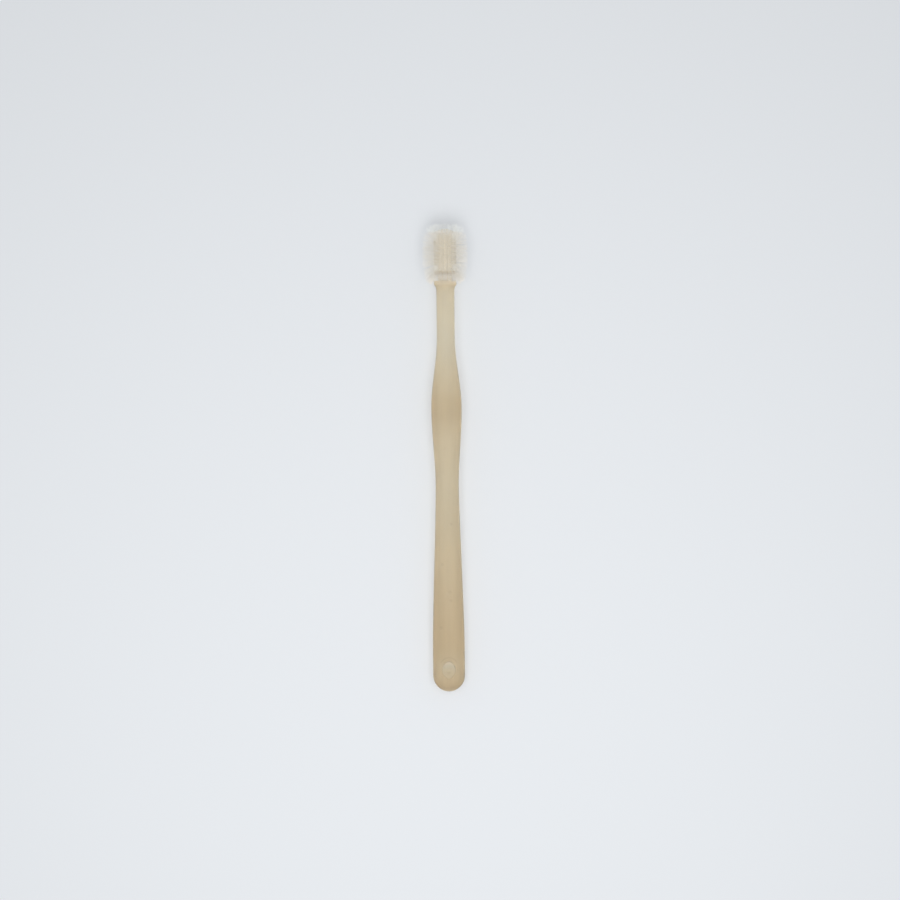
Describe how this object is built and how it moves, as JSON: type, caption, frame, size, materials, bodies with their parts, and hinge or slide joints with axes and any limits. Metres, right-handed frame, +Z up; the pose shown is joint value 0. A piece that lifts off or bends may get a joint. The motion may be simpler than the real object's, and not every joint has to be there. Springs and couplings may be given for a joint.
{
  "type": "dog toothbrush",
  "caption": "Slim dog toothbrush: a smooth waisted handle with a thin neck and a round head of stacked bristle discs that brushes on all sides.",
  "frame": {"origin": "on the table under the middle of the brush's box", "axes": "+Y along the brush from the butt to the bristle head, +Z up, with the gate well facing up"},
  "size_m": [0.0166, 0.1696, 0.0168],
  "materials": {
    "honey_plastic": "translucent honey-beige moulded plastic, soft gloss",
    "clear_filament": "clear colourless nylon filaments, fused at their inner ends"
  },
  "bodies": {
    "root": {"handle": "honey_plastic", "bristle_disc_01": "clear_filament", "bristle_disc_02": "clear_filament", "bristle_disc_03": "clear_filament", "bristle_disc_04": "clear_filament", "bristle_disc_05": "clear_filament", "bristle_disc_06": "clear_filament", "bristle_disc_07": "clear_filament", "bristle_disc_08": "clear_filament", "bristle_disc_09": "clear_filament", "bristle_disc_10": "clear_filament", "bristle_disc_11": "clear_filament", "bristle_disc_12": "clear_filament", "bristle_disc_13": "clear_filament", "bristle_disc_14": "clear_filament", "end_cap": "honey_plastic"}
  },
  "joints": []
}
